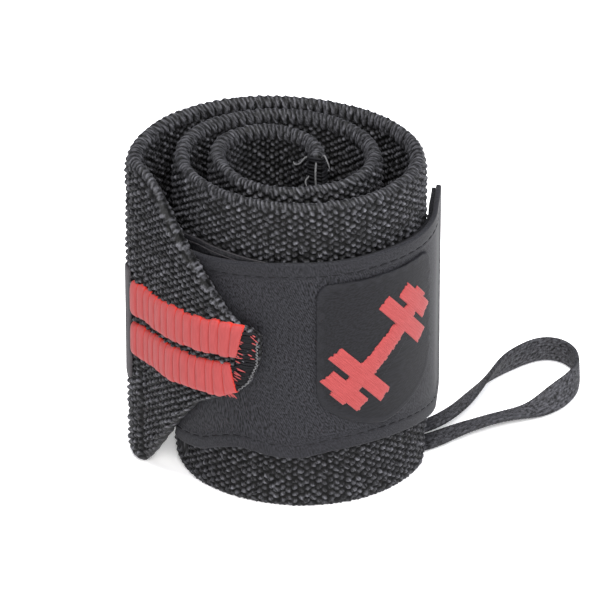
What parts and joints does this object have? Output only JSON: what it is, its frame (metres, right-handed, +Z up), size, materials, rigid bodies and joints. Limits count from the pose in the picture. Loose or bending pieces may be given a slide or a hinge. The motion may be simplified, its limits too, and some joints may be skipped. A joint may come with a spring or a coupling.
{
  "type": "wrist wrap",
  "caption": "Rolled elastic wrist wrap standing on its edge, with a pointed end, a hook-and-loop closure tab with a badge, and a flat elastic thumb loop.",
  "frame": {"origin": "middle of the part's footprint, on the surface that it stands on", "axes": "+Z up along the roll's axis, -Y to the front where the badge and the pointed end show, +X towards the thumb loop"},
  "size_m": [0.1064, 0.0718, 0.076],
  "materials": {
    "knitted_elastic": "matte",
    "ribbed_stripe": "matte",
    "twill": "matte",
    "hook_tape": "matte",
    "badge_weave": "matte",
    "woven_elastic": "matte"
  },
  "bodies": {
    "root": {"band": "knitted_elastic", "stripe_upper": "ribbed_stripe", "stripe_lower": "ribbed_stripe", "closure_tab": "twill", "hook_tape": "hook_tape", "badge": "badge_weave", "badge_motif": "ribbed_stripe", "thumb_loop": "woven_elastic"}
  },
  "joints": []
}
